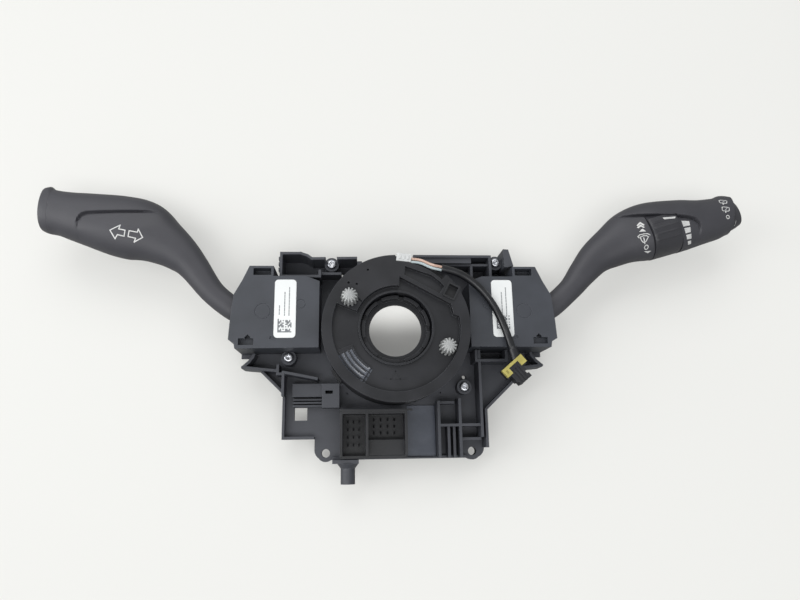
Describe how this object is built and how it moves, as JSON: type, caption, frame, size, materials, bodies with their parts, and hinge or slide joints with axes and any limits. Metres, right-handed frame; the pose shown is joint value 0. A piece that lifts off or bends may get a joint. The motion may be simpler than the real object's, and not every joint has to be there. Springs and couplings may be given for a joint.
{
  "type": "combination stalk switch",
  "caption": "Steering column switch module with a clock spring in the middle, a pigtail with its plug, and two curved stalks.",
  "frame": {"origin": "On the steering column axis, in the rear plane of the rear box", "axes": "+Z along the column towards the driver, +X to the right and +Y up as the driver sees it"},
  "size_m": [0.4517, 0.1813, 0.0566],
  "materials": {
    "carrier_black": "Injection-moulded glass-filled nylon, fine matt texture",
    "shroud_black": "Moulded PBT connector shroud, satin",
    "case_black": "Moulded nylon switch case, satin",
    "stator_black": "Moulded PBT drum, satin",
    "rotor_black": "Moulded POM rotor face, slightly glossy satin",
    "stalk_black": "Grained soft-sheen stalk shells",
    "lever_black": "Glass-filled nylon lever",
    "inner_white": "Natural POM rocker frame and gears",
    "pin_white": "White POM splined pins and plug",
    "socket_black": "Moulded PBT socket",
    "ribbon_amber": "Polyester flat cable",
    "board_green": "Glass-epoxy circuit board with solder mask",
    "terminal_tin": "Tin-plated brass terminals",
    "screw_zinc": "Zinc-plated steel torx screws",
    "spring_steel": "Spring steel leaf, coil spring and cross pin",
    "film_grey": "Smooth bluish-grey polyester film",
    "label_white": null,
    "sleeve_black": "Black PVC sleeve with a satin sheen",
    "wire_orange": "Pale orange wire insulation",
    "wire_white": "White wire insulation",
    "connector_black": "Moulded PBT plug",
    "lock_yellow": "Yellow POM connector lock"
  },
  "bodies": {
    "base": {"carrier": "carrier_black", "case_screws": "screw_zinc", "electronics_shroud": "shroud_black", "left_contact_board": "board_green", "left_detent_spring": "spring_steel", "left_label": "label_white", "left_switch_base": "case_black", "left_switch_case": "case_black", "left_terminal_pins": "terminal_tin", "main_board": "board_green", "rear_box": "shroud_black", "ribbon_coil": "ribbon_amber", "right_contact_board": "board_green", "right_detent_spring": "spring_steel", "right_label": "label_white", "right_switch_base": "case_black", "right_switch_case": "case_black", "right_terminal_pins": "terminal_tin", "sealing_film": "film_grey", "spigot": "shroud_black", "stator_drum": "stator_black", "stator_lid": "stator_black", "terminal_blades": "terminal_tin"},
    "rotor": {"rotor_disc": "rotor_black", "rotor_hub": "rotor_black", "drive_pins": "pin_white", "outlet_socket": "socket_black", "outlet_plug": "pin_white", "sensor_ring": "inner_white", "wire_orange": "wire_orange", "wire_white": "wire_white", "pigtail_sleeve": "sleeve_black", "pigtail_boot": "sleeve_black", "pigtail_connector": "connector_black", "connector_lock": "lock_yellow"},
    "gear_a": {"measuring_gear_a": "inner_white"},
    "gear_b": {"measuring_gear_b": "inner_white"},
    "left_frame": {"left_rocker": "inner_white", "left_cross_pin": "spring_steel", "left_return_spring": "spring_steel"},
    "left_stalk": {"left_lever": "lever_black", "left_stalk_front": "stalk_black", "left_stalk_back": "stalk_black", "left_end_cap": "stalk_black"},
    "right_frame": {"right_rocker": "inner_white", "right_cross_pin": "spring_steel", "right_return_spring": "spring_steel"},
    "right_stalk": {"right_lever": "lever_black", "right_stalk_front": "stalk_black", "right_stalk_back": "stalk_black"},
    "ring": {"interval_ring": "stalk_black"},
    "knob": {"end_knob": "stalk_black"}
  },
  "joints": [
    {"name": "rotor_turn", "type": "hinge", "parent": "base", "child": "rotor", "pos_m": [0, 0, 0.03], "axis": [0, 0, 1], "range_deg": [-900, 900]},
    {"name": "gear_a_turn", "type": "hinge", "parent": "base", "child": "gear_a", "pos_m": [-0.01047, -0.03653, 0.0045], "axis": [0, 0, 1], "range_deg": [-4000, 4000]},
    {"name": "gear_b_turn", "type": "hinge", "parent": "base", "child": "gear_b", "pos_m": [0.01061, -0.03701, 0.0045], "axis": [0, 0, 1], "range_deg": [-3730, 3730]},
    {"name": "left_up_down", "type": "hinge", "parent": "base", "child": "left_frame", "pos_m": [-0.08, 0.012, 0.0233], "axis": [0, 0, -1], "range_deg": [-8, 8]},
    {"name": "left_pull_push", "type": "hinge", "parent": "left_frame", "child": "left_stalk", "pos_m": [-0.08, 0.012, 0.0233], "axis": [0, 1, 0], "range_deg": [-6, 6], "stiffness_Nm_per_rad": 9, "springref_deg": 0.46, "deforming": ["left_return_spring"]},
    {"name": "right_up_down", "type": "hinge", "parent": "base", "child": "right_frame", "pos_m": [0.08, 0.012, 0.0233], "axis": [0, 0, 1], "range_deg": [-8, 8]},
    {"name": "right_pull_push", "type": "hinge", "parent": "right_frame", "child": "right_stalk", "pos_m": [0.08, 0.012, 0.0233], "axis": [0, -1, 0], "range_deg": [-6, 6], "stiffness_Nm_per_rad": 9, "springref_deg": 0.46, "deforming": ["right_return_spring"]},
    {"name": "interval_turn", "type": "hinge", "parent": "right_stalk", "child": "ring", "pos_m": [0.17491, 0.0661, 0.02744], "axis": [0.9627, 0.2672, 0.042], "range_deg": [-30, 30]},
    {"name": "end_knob_turn", "type": "hinge", "parent": "right_stalk", "child": "knob", "pos_m": [0.22286, 0.0785, 0.02954], "axis": [0.9893, 0.1392, 0.0432], "range_deg": [-40, 40]}
  ],
  "couplings": [
    {"joint": "gear_a_turn", "follows": "rotor_turn", "ratio": -4.4286},
    {"joint": "gear_b_turn", "follows": "rotor_turn", "ratio": -4.1333}
  ]
}
